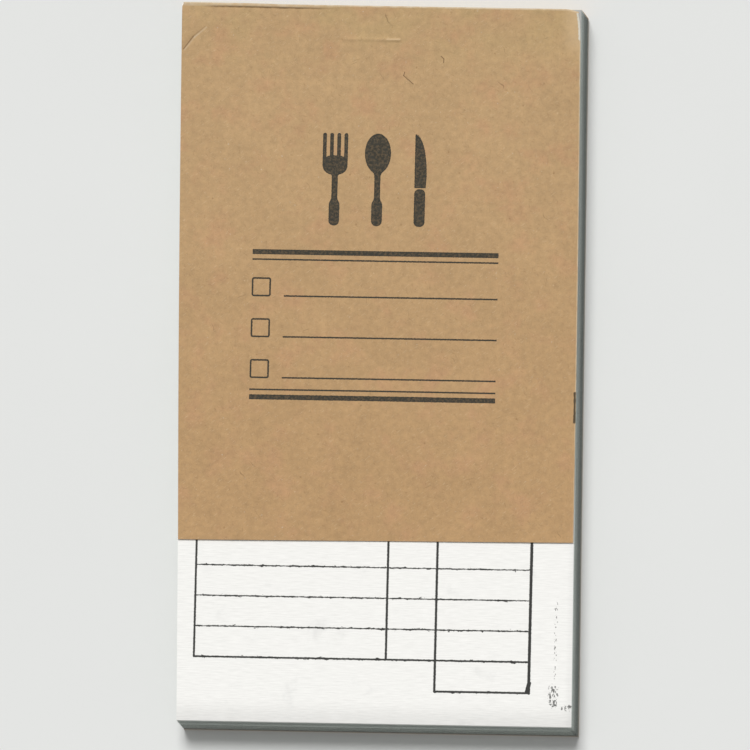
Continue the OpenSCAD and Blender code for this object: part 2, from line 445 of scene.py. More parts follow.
def right_edge_gap(finish, place):
    """How far a place on the cover lies inside its right-hand edge, which bows out a little."""
    head, foot = cover_heads[1] / MM, cover_feet[1] / MM
    across, along, _ = finish.split(place)
    length = edge_y / MM - foot.y
    share = finish.math("MULTIPLY_ADD", along, -1 / length, edge_y / MM / length)
    straight = finish.math("MULTIPLY_ADD", share, foot.x - head.x, head.x)
    bow = finish.product(share, finish.math("SUBTRACT", 1.0, share))
    edge = finish.math("MULTIPLY_ADD", bow, 4 * SIDE_BOW / MM, straight)
    return finish.math("SUBTRACT", edge, across)


def worn_right_edge(finish, place, unevenness, colour):
    """Hands have rubbed the right-hand edge pale, and its corner is frayed to the core of the paper."""
    along = finish.split(place)[1]
    rub = finish.product(
        finish.ramp(right_edge_gap(finish, place), *EDGE_RUB, 0.95, 0.0),
        finish.ramp(along, *EDGE_RUB_FADE, 0.5, 1.0),
        finish.ramp(along, fold_y / MM - 0.6, fold_y / MM, 1.0, 0.0),
        unevenness,
    )
    colour = finish.blend(rub, colour, KRAFT_RUBBED_AND_HIGHLIGHT)

    from_fray = finish.stroke(place, *FRAYED_EDGE, 0.05)
    colour = finish.marked(colour, KRAFT_LIGHT, 0.5, from_fray, 0.3, 4.5)
    shreds = finish.streaks(place, (2.2, 1.4, 1.0), 3.0, 0.7)
    frayed = finish.math("ADD", finish.ramp(from_fray, 0.0, 0.65, 0.38, 0.0), shreds)
    return finish.blend(finish.ramp(frayed, 0.66, 0.80, 0.0, 0.9), colour, KRAFT_FRAYED)


def fibres_and_edge_shadow(finish, place, unevenness, colour):
    """The dark fibres, and the painted shadow where the edge lifts, with an uneven outline."""
    for fibre in LONG_FIBRES:
        colour = finish.marked(colour, HAIR, 0.7, finish.stroke(place, *fibre, 0.07), -0.05, 0.08)
    edge_shadow = finish.math("MULTIPLY_ADD", unevenness, -0.25, finish.stroke(place, *LIFTED_EDGE_SHADOW, 0.16))
    return finish.marked(colour, COVER_INK, 0.85, edge_shadow, -0.2, 0.0)


def wear_and_painted_light(finish, place, colour):
    """The colour of kraft with its marks of wear, and with painted shade and painted highlights at the
    fold, the turned corner, the staple's ridge and the lifted edge.
    """
    unevenness = finish.ramp(finish.noise(place, 0.6, 3.0, 0.6), 0.34, 0.64, 0.4, 0.9)
    colour = fold_wear_and_painted_light(finish, place, unevenness, colour)
    colour = ear_crease_shade_and_highlight(finish, place, unevenness, colour)
    colour = staple_ridge_highlight(finish, place, colour)
    colour = worn_right_edge(finish, place, unevenness, colour)
    return fibres_and_edge_shadow(finish, place, unevenness, colour)


# Kraft paper

KRAFT_LOW = linear(184, 149, 107)
KRAFT_HIGH = linear(187, 155, 114)
KRAFT_PINK = linear(190, 148, 111)
KRAFT_OLIVE = linear(180, 154, 110)
KRAFT_DARK = linear(146, 112, 74)
KRAFT_CORE = linear(198, 168, 130)

# The flat sheet's map: its corner and its size in millimetres, so that the map stays within 0 to 1
MAP_CORNER = (-60.0, -60.0)
MAP_SIZE = (120.0, 320.0)
KRAFT_MAP = "flat_sheet"

# Where along the cover its colour changes, and where hands have darkened it below the fold
KRAFT_SHADE = (-40.0, 66.0)
HANDLED = (56.0, 70.0)
# Angle, tint and strength of the short fibres, and the angles of the hairs
SHORT_FIBRES = ((24, KRAFT_DARK, 0.34), (-38, KRAFT_LIGHT, 0.5), (82, KRAFT_DARK, 0.3))
HAIR_ANGLES = (55, -20)
# Tint and shift of the specks, and the pitch, radius and share of their dots
SPECKS = (
    (KRAFT_DARK, (0.0, 0.0, 0.0), (3.1, 0.26, 0.45)),
    (KRAFT_LIGHT, (31.7, 17.3, 0.0), (3.7, 0.22, 0.4)),
)
SPECK_STRENGTH = 0.5


def kraft_paper(name, core=False, outer=False):
    """Unbleached kraft: mottled and full of short fibres. Its outer face is printed and worn, with
    painted shade and painted highlights.
    """
    finish = Finish(name, specular=0.25)
    flat = finish.node("ShaderNodeUVMap", uv_map=KRAFT_MAP).outputs[0]
    place = finish.vector("MULTIPLY_ADD", flat, (*MAP_SIZE, 1.0), (*MAP_CORNER, 0.0))
    along = finish.split(place)[1]

    cloud = finish.noise(place, 0.07, 3.0, 0.55)
    mottle = finish.noise(place, 0.75, 2.0, 0.6)
    grain = finish.noise(place, 3.2, 2.0, 0.6)
    tone = finish.around(cloud, 0.20, 1.0)
    for layer, contrast in ((finish.noise(place, 0.2), 0.16), (mottle, 0.42), (grain, 0.18)):
        tone = finish.math("ADD", tone, finish.around(layer, contrast))
    base = KRAFT_CORE[:3]
    if not core:
        base = finish.blend(finish.ramp(along, *KRAFT_SHADE), KRAFT_LOW, KRAFT_HIGH)
        patches = finish.ramp(finish.noise(place, 0.13, 4.0, 0.6), 0.48, 0.70, 0.0, 0.6)
        base = finish.blend(patches, base, KRAFT_PINK)
        handled = finish.product(finish.ramp(along, *HANDLED), finish.ramp(cloud, 0.42, 0.58), 0.55)
        base = finish.blend(handled, base, KRAFT_OLIVE)
    colour = finish.toned(base, tone)

    # Short fibres lying at three angles, dark and pale
    wander = finish.noise(place, 0.5, 1.0)
    bent = finish.vector("ADD", place, finish.joined(wander, wander, 0.0))
    fibres = []
    for turn, tint, strength in SHORT_FIBRES:
        streak = finish.streaks(bent, (0.85, 5.5, 1.0), 1.0, turn=turn)
        fibres.append(finish.ramp(streak, 0.62, 0.74, 0.0, strength))
        colour = finish.blend(fibres[-1], colour, tint)

    # Specks of bark and of pale pulp, and a few long hairs
    for tint, shift, dots in SPECKS:
        specks = finish.dots(finish.vector("ADD", bent, shift), *dots)
        colour = finish.blend(finish.product(specks, SPECK_STRENGTH), colour, tint)
    few = finish.ramp(finish.noise(place, 0.11, 1.0), 0.58, 0.64)
    for turn in HAIR_ANGLES:
        hair = finish.streaks(bent, (0.22, 4.6, 1.0), 0.0, turn=turn)
        hair = finish.product(finish.ramp(hair, 0.80, 0.84, 0.0, 0.38), few)
        colour = finish.blend(hair, colour, HAIR)

    roughness = finish.ramp(mottle, 0.3, 0.7, 0.82, 0.92)
    if outer:
        colour = wear_and_painted_light(finish, place, colour)
        ink = cover_ink(finish, place)
        colour = finish.blend(ink, colour, COVER_INK)
        roughness = finish.math("MULTIPLY_ADD", ink, -0.2, roughness)
    finish.roughness(roughness)
    finish.bump(finish.math("MULTIPLY_ADD", grain, 0.6, finish.greatest(fibres)), 0.02)
    return finish.done(colour)


# Print on the sheets, in millimetres of the pad's frame

SHEET_INK = linear(22, 23, 19)
TABLE_FOOT = -58.69
TOTAL_FOOT = -64.87
ROW_PITCH = 6.12
ROWS = 15
TABLE_HEAD = TABLE_FOOT + ROWS * ROW_PITCH
HEAD_LINES = (43.0, 50.5)
# Each upright's place, half its thickness and its foot
UPRIGHTS = (
    (-35.43, 0.20, TABLE_FOOT),
    (2.74, 0.22, TABLE_FOOT),
    (12.53, 0.23, TOTAL_FOOT),
    (31.26, 0.29, TOTAL_FOOT),
)
# Half the thickness of the lines across
TABLE_FOOT_HALF = 0.18
TABLE_HEAD_HALF = 0.22
TOTAL_HALF = 0.20
HEAD_LINE_HALF = 0.12
ROW_HALVES = (0.06, 0.15)
CORNER_BLOT = ((31.34, -62.9), (30.9, -64.65))
BLOT_HALF = 0.4

# Stray ink: a lane down the right-hand margin, a clump at its foot and a streak at the corner
LANE_X = 36.4
LANE_Y = -54.0
LANE_DENSITY = 0.72
CLUMP = ((36.1, -65.4), (0.7, 1.9), 0.5)
STREAK = ((39.3, -67.7), (1.5, 0.4), 0.3)


def table_ink(finish, place):
    """How much of the printed table's ink lies at a place, with the blots of a worn plate."""
    left, right, total_left = UPRIGHTS[0][0], UPRIGHTS[-1][0], UPRIGHTS[2][0]
    middle, width = (left + right) / 2, (right - left) / 2
    total_middle, total_width = (total_left + right) / 2, (right - total_left) / 2
    ragged = finish.around(finish.noise(place, 3.0, 2.0, 0.6), 0.20, -0.01)
    swell = finish.streaks(place, (0.7, 1.6, 1.0), 3.0, 0.7)
    blots = finish.ramp(swell, 0.54, 0.72, 0.0, 0.26)

    uprights = []
    for x, half, foot in UPRIGHTS:
        upright_middle, upright_half = (x, (TABLE_HEAD + foot) / 2), (TABLE_HEAD - foot) / 2 + half
        uprights.append(finish.rectangle(place, upright_middle, (half, upright_half), half))
    uprights.append(finish.stroke(place, *CORNER_BLOT, BLOT_HALF))
    bars = [
        finish.rectangle(place, (middle, TABLE_FOOT), (width, TABLE_FOOT_HALF)),
        finish.rectangle(place, (middle, TABLE_HEAD), (width, TABLE_HEAD_HALF)),
        finish.rectangle(place, (total_middle, TOTAL_FOOT), (total_width, TOTAL_HALF)),
    ]
    for line_y in HEAD_LINES:
        bars.append(finish.rectangle(place, (middle, line_y), (width, HEAD_LINE_HALF)))

    # Thin row lines that repeat, starved of ink here and there
    along = finish.split(place)[1]
    row = finish.math("MULTIPLY_ADD", along, 1 / ROW_PITCH, 0.5 - TABLE_FOOT / ROW_PITCH)
    off_row = finish.math("ABSOLUTE", finish.math("SUBTRACT", finish.math("FRACT", row), 0.5))
    thickness = finish.ramp(swell, 0.30, 0.58, *ROW_HALVES)
    row_line = finish.math("SUBTRACT", finish.product(off_row, ROW_PITCH), thickness)
    table_middle, table_half = (TABLE_HEAD + TABLE_FOOT) / 2, (TABLE_HEAD - TABLE_FOOT) / 2
    table = finish.rectangle(place, (middle, table_middle), (width, table_half))
    bars.append(finish.math("MAXIMUM", row_line, table))

    bar_ink = finish.math("SUBTRACT", finish.nearest(bars), blots)
    ink = finish.math("ADD", finish.math("MINIMUM", finish.nearest(uprights), bar_ink), ragged)
    return finish.ramp(ink, -INK_SOFT, INK_SOFT, INK_FULL, 0.0)


def stray_ink(finish, place):
    """Offset specks down the right-hand margin, thickest near the bottom."""
    across, along, _ = finish.split(place)
    speck = finish.streaks(place, (2.6, 1.3, 1.0), 2.0, 0.65)
    lane = finish.product(
        finish.band(across, LANE_X, 0.15, 0.5), finish.band(along, LANE_Y, 7.0, 3.0), LANE_DENSITY
    )
    clump = finish.ramp(finish.rectangle(place, *CLUMP), -0.3, 1.3, 1.0, 0.0)
    streak = finish.ramp(finish.rectangle(place, *STREAK), -0.2, 0.8, 1.0, 0.0)
    where = finish.greatest([lane, clump, streak])
    specks = finish.ramp(finish.math("MULTIPLY_ADD", where, 0.24, speck), 0.72, 0.78, 0.0, 0.8)
    return finish.product(specks, finish.ramp(where, 0.1, 0.9))


# Carbonless sheets

ORIGINAL = linear(245, 244, 240)
ORIGINAL_EDGE = linear(224, 226, 221)
COPY = linear(219, 234, 220)
COPY_EDGE = linear(205, 214, 207)
SMUDGE = linear(205, 205, 203)

# How painted shade darkens the sheets, and how far: up from the foot, in from the right, at the bound
# corner
FOOT_SHADE = 0.85
FOOT_REACH = 5.0
RIGHT_SHADE = 0.92
RIGHT_REACH = (1.8, 0.2)
CORNER_SHADE = 0.5
CORNER_REACH = (1.2, 4.0)

# Rims of the sheets in the stack, grey with painted shade that is darker lower down: their colours, the
# heights these belong to, and their width
RIM_SHADE_HIGH = linear(178, 184, 180)
RIM_SHADE_LOW = linear(150, 156, 151)
RIM_HEIGHTS = (1.0, 7.5)
RIM_WIDTH = 0.9
# Heights of the sheets that stand proud in front, how much painted highlight that gives them, and the
# painted shade that deepens down the right-hand side
PROUD_HEIGHT = 4.7
PROUD_FOOT = (0.5, 3.0)
PROUD_HIGHLIGHT = 0.28
SIDE_HEIGHTS = (2.0, 7.5)
SIDE_SHADES = (-0.32, 0.12)


def painted_edge_shade(finish, place):
    """Painted shade at the foot of the sheets, along their right-hand edge and at their bare bound
    corner.
    """
    across, along, _ = finish.split(place)
    foot, head = corner("top_original", 1, -1) / MM, corner("original_stub", 1, 1) / MM
    from_head = finish.vector("SUBTRACT", place, (head.x, head.y, 0.0))
    from_head = finish.vector("LENGTH", finish.vector("MULTIPLY", from_head, (1.0, 0.5, 0.0)))
    right_start, right_end = (foot.x - reach for reach in RIGHT_REACH)
    return finish.product(
        finish.ramp(from_head, *CORNER_REACH, CORNER_SHADE, 1.0),
        finish.ramp(along, foot.y, foot.y + FOOT_REACH, FOOT_SHADE, 1.0),
        finish.ramp(across, right_start, right_end, 1.0, RIGHT_SHADE),
    )


def stack_rims(finish, place):
    """Masks of a narrow rim round the sheets of the leaning stack, and of its right-hand side alone."""
    heads, feet = ([corner("check_set_02", side, way) for side in SIDES] for way in (1, -1))
    start = feet[1]
    lean = corner("check_set_50", 1, -1) - start
    across, along, height = finish.split(place)
    below = finish.math("SUBTRACT", height, start.z / MM)
    across = finish.math("MULTIPLY_ADD", below, -lean.x / lean.z, across)
    along = finish.math("MULTIPLY_ADD", below, -lean.y / lean.z, along)
    past = [finish.math("SUBTRACT", start.y / MM, along)]
    for side, head, foot in zip(SIDES, heads, feet):
        run = (head.x - foot.x) / (head.y - foot.y)
        edge = finish.math("MULTIPLY_ADD", along, run, (foot.x - run * foot.y) / MM)
        past.append(finish.product(finish.math("SUBTRACT", across, edge), side))
    rims = [finish.ramp(gap, -RIM_WIDTH, -RIM_WIDTH / 2) for gap in past]
    return finish.greatest(rims), rims[-1]


def stack_edge_highlight_and_shade(finish, height, right_rim, tone):
    """The tone of the stack's cut edges: painted highlight where sheets stand proud in front, painted
    shade lower down the right-hand side.
    """
    proud = finish.band(height, PROUD_HEIGHT, 0.4, 0.5)
    proud = finish.math("ADD", proud, finish.ramp(height, *PROUD_FOOT, 0.8, 0.0))
    front = finish.product(finish.math("SUBTRACT", 1.0, right_rim), finish.product(proud, PROUD_HIGHLIGHT))
    right = finish.product(right_rim, finish.ramp(height, *SIDE_HEIGHTS, *SIDE_SHADES))
    return finish.math("MULTIPLY_ADD", tone, finish.math("ADD", front, right), tone)


def check_paper(name, face, edge, under_face=None, under_edge=None):
    """A printed carbonless sheet. With an under sheet, the two take turns through the stack."""
    finish = Finish(name)
    place = finish.object_mm()
    height = finish.split(place)[2]

    fibre = finish.streaks(place, (0.35, 4.5, 1.0), 3.0, 0.6)
    fine = finish.noise(place, 5.0)
    tone = finish.math("ADD", finish.around(fibre, 0.30, 1.0), finish.around(fine, 0.06))
    # Painted shade at the foot, along the right-hand edge and at the bound corner
    tone = finish.product(tone, painted_edge_shade(finish, place))
    smudges = finish.ramp(finish.noise(place, 0.16, 4.0, 0.62), 0.60, 0.80, 0.0, 0.3)

    face_colour, edge_colour = face[:3], edge[:3]
    if under_face:
        layer = finish.math("MULTIPLY_ADD", height, MM / set_t, -board_top / set_t)
        upper = finish.math("GREATER_THAN", finish.math("FRACT", layer), 0.5)
        face_colour = finish.blend(upper, under_face, face)
        edge_colour = finish.blend(upper, under_edge, edge)
    face_colour = finish.toned(face_colour, tone)
    face_colour = finish.blend(smudges, face_colour, SMUDGE)

    # The print is on the upper side alone
    upward = finish.split(finish.node("ShaderNodeNewGeometry").outputs["Normal"])[2]
    ink = finish.math("MAXIMUM", table_ink(finish, place), stray_ink(finish, place))
    ink = finish.product(ink, finish.math("GREATER_THAN", upward, 0.0))
    face_colour = finish.blend(ink, face_colour, SHEET_INK)

    # Cut edges: each sheet has its own tone, and dust makes them uneven
    strata = finish.streaks(place, (0.012, 0.012, 2.2), 3.0, 0.7)
    dust = finish.streaks(place, (0.4, 0.4, 2.0))
    edge_tone = finish.math("ADD", finish.around(strata, 0.8, 0.98), finish.around(dust, 0.16))
    if under_face:
        # Of the sheets lower down only the rims show, greyed by painted shade that deepens lower down
        rim, right_rim = stack_rims(finish, place)
        # Painted highlight where sheets stand proud, painted shade down the right-hand side
        edge_tone = stack_edge_highlight_and_shade(finish, height, right_rim, edge_tone)
        rim_shade_colour = finish.blend(finish.ramp(height, *RIM_HEIGHTS), RIM_SHADE_LOW, RIM_SHADE_HIGH)
        lower = finish.math("LESS_THAN", height, second_set_bottom / MM)
        rim = finish.product(lower, rim)
        face_colour = finish.blend(rim, face_colour, finish.toned(rim_shade_colour, edge_tone))
    edge_colour = finish.toned(edge_colour, edge_tone)

    level = finish.math("GREATER_THAN", finish.math("ABSOLUTE", upward), 0.5)
    finish.roughness(finish.ramp(fine, 0.3, 0.7, 0.70, 0.80))
    finish.bump(finish.math("ADD", fibre, fine), 0.006)
    return finish.done(finish.blend(level, edge_colour, face_colour))


# Board, glue and wire

BOARD_PULP = linear(150, 148, 141)
BOARD_DARK = linear(92, 90, 88)
BOARD_PALE = linear(196, 193, 184)
GLUE_THIN = linear(214, 210, 194)
GLUE_THICK = linear(238, 235, 224)
WIRE_DARK = linear(122, 124, 128)
WIRE_PALE = linear(168, 170, 172)


def grey_board():
    """Recycled board: grey pulp with dark and pale flecks."""
    finish = Finish("recycled_grey_board", roughness=0.9, specular=0.2)
    place = finish.object_mm()
    pulp = finish.noise(place, 1.1, 4.0, 0.65)
    flecks = finish.streaks(place, (1.4, 6.0, 3.0), 1.0, turn=30)
    layers = finish.streaks(place, (0.1, 0.1, 7.0))
    tone = finish.math("ADD", finish.around(pulp, 0.34, 1.0), finish.around(layers, 0.3))
    colour = finish.toned(BOARD_PULP[:3], tone)
    colour = finish.blend(finish.ramp(flecks, 0.66, 0.72, 0.0, 0.6), colour, BOARD_DARK)
    colour = finish.blend(finish.ramp(flecks, 0.28, 0.34, 0.5, 0.0), colour, BOARD_PALE)
    finish.bump(pulp, 0.03)
    return finish.done(colour)


def padding_glue():
    """Dried white glue: milky, a little glossy, with the marks of the brush."""
    finish = Finish("dried_padding_glue", specular=0.5)
    place = finish.object_mm()
    strokes = finish.streaks(place, (0.25, 3.0, 3.0), 3.0)
    lumps = finish.noise(place, 0.7)
    finish.roughness(finish.ramp(lumps, 0.3, 0.7, 0.28, 0.5))
    finish.bump(finish.math("ADD", strokes, lumps), 0.03)
    return finish.done(finish.blend(strokes, GLUE_THIN, GLUE_THICK))


def stitching_wire():
    """Galvanised wire, drawn, with fine lines along it."""
    finish = Finish("galvanised_wire", specular=0.5)
    finish.shader.inputs["Metallic"].default_value = 1.0
    place = finish.object_mm()
    spangle = finish.noise(place, 2.4)
    drawn = finish.streaks(place, (0.6, 24.0, 24.0))
    finish.roughness(finish.ramp(drawn, 0.3, 0.7, 0.24, 0.46))
    finish.bump(drawn, 0.004)
    return finish.done(finish.blend(spangle, WIRE_DARK, WIRE_PALE))


# Objects of the scene

def in_scene(name, data):
    """An object that holds the given mesh, light or camera."""
    thing = bpy.data.objects.new(name, data)
    bpy.context.scene.collection.objects.link(thing)
    return thing


def as_object(name, mesh, materials):
    """A finished mesh as an object with its materials."""
    data = bpy.data.meshes.new(name)
    mesh.to_mesh(data)
    mesh.free()
    for material in materials:
        data.materials.append(material)
    return in_scene(name, data)


# The kraft wrap: one sheet, cut flat, folded round the bound edge and worn by use

# The ridge over the staple: it rises to its full lift between two distances from the right-hand end
RIDGE_LIFT = 0.30 * MM
RIDGE_REST = 0.45
RIDGE_RISE = (4.5 * MM, 1.5 * MM)
RIDGE_SPREAD = 0.32 * MM
# Slow waves of the cover, and a dent
COCKLE = 0.07 * MM
COCKLE_START = (1 * MM, 12 * MM)
WAVE_X = 8 * MM
WAVE_Y = 13 * MM
DENT_AT = (21 * MM, 58 * MM)
DENT_SPREAD = (3.5 * MM, 8 * MM)
DENT_SLANT = 0.5
# The roll along the fold: where it rises and falls past the crease, and the crease itself
ROLL_LIFT = 0.16 * MM
ROLL_RISE = (0.0, 0.3 * MM)
ROLL_FALL = (0.8 * MM, 0.45 * MM)
CREASE_DIP = 0.07 * MM
CREASE_SPREAD = 0.15 * MM
# The turned corner: its crease, how far it stands up, and where that begins and ends
EAR_DIP = 0.07 * MM
EAR_SPREAD = 0.22 * MM
EAR_RISE = 0.16 * MM
EAR_SLOPE = 1.2 * MM
EAR_TO_FOLD = (0.7 * MM, 3 * MM)
EAR_FADE = (1.0 * MM, -2.0 * MM)
# The torn corner: how much is gone at the fold, and how far along, down the cover and down the spine
CORNER_BITE = 0.38 * MM
BITE_ALONG = 4 * MM
BITE_COVER = 2.6 * MM
BITE_SPINE = 1.2 * MM
# The same for how far the fold is worn back there
CORNER_DROP = 0.6 * MM
DROP_ALONG = 3.6 * MM
DROP_COVER = 1.6 * MM
DROP_SPINE = 0.6 * MM
# The left-hand corner is a little drawn in, and so is the fold past its roll
LEFT_BITE = 0.35 * MM
LEFT_ALONG = 2 * MM
LEFT_SPREAD = 0.5 * MM
FOLD_DROP = 0.14 * MM
FOLD_SPREAD = 1.2 * MM
DROP_ENDS = (-30 * MM, -18 * MM)

# Columns of the sheet are closer at its corners and at the ends of the staple: a reach and a step
COLUMN_STEP = 1.3 * MM
EAR_COLUMNS = (6 * MM, 0.25 * MM)
RIGHT_COLUMNS = (5 * MM, 0.3 * MM)
STAPLE_STEP = 0.2 * MM
STAPLE_BEYOND = 1.2 * MM
STAPLE_WITHIN = 0.6 * MM
# Rows are closer towards the fold, and closest round the turns
ROW_STEP = 1.5 * MM
BOUND_ROWS = (11 * MM, 0.22 * MM)
CREASE_ROWS = (1.2 * MM, 0.08 * MM)
FOLD_ROWS = 9
UPPER_SPINE_ROWS = (2 * MM, 0.3 * MM)
SPINE_STEP = 0.8 * MM
FOOT_ROWS = 6
BACK_STEP = 3 * MM
# Past this turn the paper lies along the back
FLAT_BACK = pi - 0.01


def eased(value, start, end):
    """0 before start and 1 after end, smooth between. start may be the larger one."""
    share = min(1.0, max(0.0, (value - start) / (end - start)))
    return share * share * (3 - 2 * share)


def bell(value, spread):
    return exp(-(value / spread) ** 2)


def stations(start, *zones):
    """Places from the start through zones that each have an end and a step."""
    places = [start]
    for end, step in zones:
        first = places[-1]
        count = max(1, round((end - first) / step))
        places += [first + (end - first) * (i + 1) / count for i in range(count)]
    return places


def columns():
    staple_left, staple_right = (staple_x - cover_heads[0].x + side * crown_half for side in SIDES)
    right_w, right_step = RIGHT_COLUMNS
    return stations(
        0.0,
        EAR_COLUMNS,
        (staple_left - STAPLE_BEYOND, COLUMN_STEP),
        (staple_left + STAPLE_WITHIN, STAPLE_STEP),
        (staple_right - STAPLE_WITHIN, COLUMN_STEP),
        (staple_right + STAPLE_BEYOND, STAPLE_STEP),
        (wrap_w - right_w, COLUMN_STEP),
        (wrap_w, right_step),
    )


def rows():
    bound_l, bound_step = BOUND_ROWS
    crease_l, crease_step = CREASE_ROWS
    upper_l, upper_step = UPPER_SPINE_ROWS
    return stations(
        -front_l,
        (-bound_l, ROW_STEP),
        (-crease_l, bound_step),
        (0.0, crease_step),
        (fold_l, fold_l / FOLD_ROWS),
        (fold_l + upper_l, upper_step),
        (fold_l + spine_l, SPINE_STEP),
        (turns_l, foot_l / FOOT_ROWS),
        (turns_l + back_l, BACK_STEP),
    )


def flat_slab(across, along, thickness):
    """A flat sheet drawn out from one corner by columns and rows, and given its thickness."""
    mesh = bmesh.new()
    tip = mesh.verts.new((across[0], along[0], 0.0))
    for place in across[1:]:
        tip = bmesh.ops.extrude_vert_indiv(mesh, verts=[tip])["verts"][0]
        tip.co.x = place
    row = mesh.edges[:]
    for place in along[1:]:
        drawn = bmesh.ops.extrude_edge_only(mesh, edges=row)["geom"]
        fresh = {item for item in drawn if isinstance(item, bmesh.types.BMVert)}
        for vertex in fresh:
            vertex.co.y = place
        edges = (item for item in drawn if isinstance(item, bmesh.types.BMEdge))
        row = [edge for edge in edges if fresh.issuperset(edge.verts)]
    bmesh.ops.recalc_face_normals(mesh, faces=mesh.faces[:])
    bmesh.ops.solidify(mesh, geom=mesh.faces[:], thickness=thickness)
    bmesh.ops.recalc_face_normals(mesh, faces=mesh.faces[:])
    return mesh


def staple_ridge(x, y):
    """The staple's crown lifts the cover, most of all at its right-hand end."""
    from_end = staple_x + crown_half - x
    past_crown = max(0.0, abs(x - staple_x) - crown_half)
    lift = RIDGE_LIFT * (RIDGE_REST + (1 - RIDGE_REST) * eased(from_end, *RIDGE_RISE))
    return lift * bell(y - staple_y, RIDGE_SPREAD) * bell(past_crown, RIDGE_SPREAD)


def cockled(x, y):
    """Slow waves of the loose cover, and a soft dent near its right-hand corner."""
    waves = 1 + sin(x / WAVE_X + 1.2) * cos(y / WAVE_Y + 0.4)
    past_x, past_y = x - DENT_AT[0], y - DENT_AT[1]
    dent = bell(past_x + DENT_SLANT * past_y, DENT_SPREAD[0]) * bell(past_y, DENT_SPREAD[1])
    return COCKLE * (waves * eased(fold_y - y, *COCKLE_START) + dent)


def rolled_edge(x, y):
    """The fold stands up in a roll at its left-hand half, with a crease beside it."""
    creased = eased(x / MM, *CREASE_LEFT) * eased(x / MM, *reversed(CREASE_RIGHT))
    past = y - CREASE_Y * MM
    roll = ROLL_LIFT * eased(past, *ROLL_RISE) * eased(past, *ROLL_FALL)
    return creased * (roll - CREASE_DIP * bell(past, CREASE_SPREAD))


def turned_corner(x, y):
    """The left-hand corner was turned up once: a crease across it, and the corner a little raised."""
    foot, head = (Vector(point) * MM for point in (EAR_CREASE[0], EAR_CREASE[-1]))
    ear = (head - foot).normalized()
    from_foot = Vector((x, y)) - foot
    beyond = ear.x * from_foot.y - ear.y * from_foot.x
    past_head = from_foot.dot(ear) - (head - foot).length
    rise = EAR_RISE * eased(beyond, 0.0, EAR_SLOPE) * eased(fold_y - y, *EAR_TO_FOLD)
    return eased(past_head, *EAR_FADE) * (rise - EAR_DIP * bell(beyond, EAR_SPREAD))


def cover_lift(x, y):
    """How far the front cover stands off its flat place."""
    return staple_ridge(x, y) + cockled(x, y) + rolled_edge(x, y) + turned_corner(x, y)


def torn(x, from_fold, from_right, from_left):
    """How far the worn corners are drawn in along X, and the fold along Y, at a place."""
    bite_down, drop_down = (BITE_COVER, DROP_COVER) if from_fold < 0 else (BITE_SPINE, DROP_SPINE)
    bite = CORNER_BITE * bell(from_fold, bite_down) * eased(from_right, BITE_ALONG, 0.0)
    left_bite = LEFT_BITE * bell(from_fold, LEFT_SPREAD) * eased(from_left, LEFT_ALONG, 0.0)
    drop = FOLD_DROP * bell(from_fold, FOLD_SPREAD) * eased(x, *DROP_ENDS)
    worn_back = max(0.0, 1 - from_right / DROP_ALONG)
    drop += CORNER_DROP * worn_back * worn_back * bell(from_fold, drop_down)
    return left_bite - bite, -drop


def row_on_front(column, run):
    """The ends of a row of the front cover, its Y and Z, and its turn, which is none."""
    foot_y = cover_feet[0].y + (cover_feet[1].y - cover_feet[0].y) * column
    y = fold_y + run * (fold_y - foot_y) / front_l
    share = (edge_y - y) / (edge_y - foot_y)
    bow = SIDE_BOW * max(0.0, 4 * share * (1 - share))
    ends = [
        head.x + (foot.x - head.x) * share + side * bow
        for side, head, foot in zip(SIDES, cover_heads, cover_feet)
    ]
    return ends, y, front_z, 0.0


def row_past_fold(run):
    """The ends of a row past the start of the fold, its Y and Z, and how far it has turned."""
    y, z, turned, left_over = fold_y, front_z, 0.0, run
    for length, radius in ((fold_l, FOLD_R), (spine_l, None), (foot_l, FOOT_R), (inf, None)):
        step = min(left_over, length)
        if radius:
            end = turned + step / radius
            y += radius * (sin(end) - sin(turned))
            z += radius * (cos(end) - cos(turned))
            turned = end
        else:
            y += step * cos(turned)
            z -= step * sin(turned)
        left_over -= step
    share = min(1.0, run / turns_l)
    down_back = max(0.0, (spine_end_y - y) / back_l) if turned > FLAT_BACK else 0.0
    ends = [
        head.x + (back.x - head.x) * share + (foot.x - back.x) * down_back
        for head, back, foot in zip(cover_heads, back_heads, back_feet)
    ]
    return ends, y, z, turned


def kraft_wrap(materials):
    """The wrap, from the foot of its front cover over the fold and down to the foot of its back."""
    mesh = flat_slab(columns(), rows(), kraft_t)
    flat_map = mesh.loops.layers.uv.new(KRAFT_MAP)
    low = min(vertex.co.z for vertex in mesh.verts)

    # The outer face, the inner face and the cut edge have a material each
    for face in mesh.faces:
        heights = {vertex.co.z - low > half_t for vertex in face.verts}
        face.material_index = 2 if len(heights) == 2 else 0 if True in heights else 1
        face.smooth = True
    for edge in mesh.edges:
        edge.smooth = len({face.material_index for face in edge.link_faces}) == 1

    placed = {}
    for vertex in mesh.verts:
        column, run = vertex.co.x / wrap_w, vertex.co.y
        off = half_t if vertex.co.z - low > half_t else -half_t
        on_front = run <= 0
        (left, right), y, z, turned = row_on_front(column, run) if on_front else row_past_fold(run)
        x = left + (right - left) * column
        flat = (x / MM, (y if on_front else fold_y + run) / MM)
        if run <= fold_l:
            z += cover_lift(x, y) * cos(min(turned, pi / 2))
        shift_x, shift_y = torn(x, run - fold_l / 2, right - x, x - left)
        place = (x + shift_x, y + shift_y + off * sin(turned), z + off * cos(turned))
        placed[vertex] = place, flat
    for face in mesh.faces:
        for loop in face.loops:
            flat = placed[loop.vert][1]
            loop[flat_map].uv = [(p - c) / s for p, c, s in zip(flat, MAP_CORNER, MAP_SIZE)]
    for vertex, (place, _) in placed.items():
        vertex.co = place
    return as_object("kraft_wrap", mesh, materials)


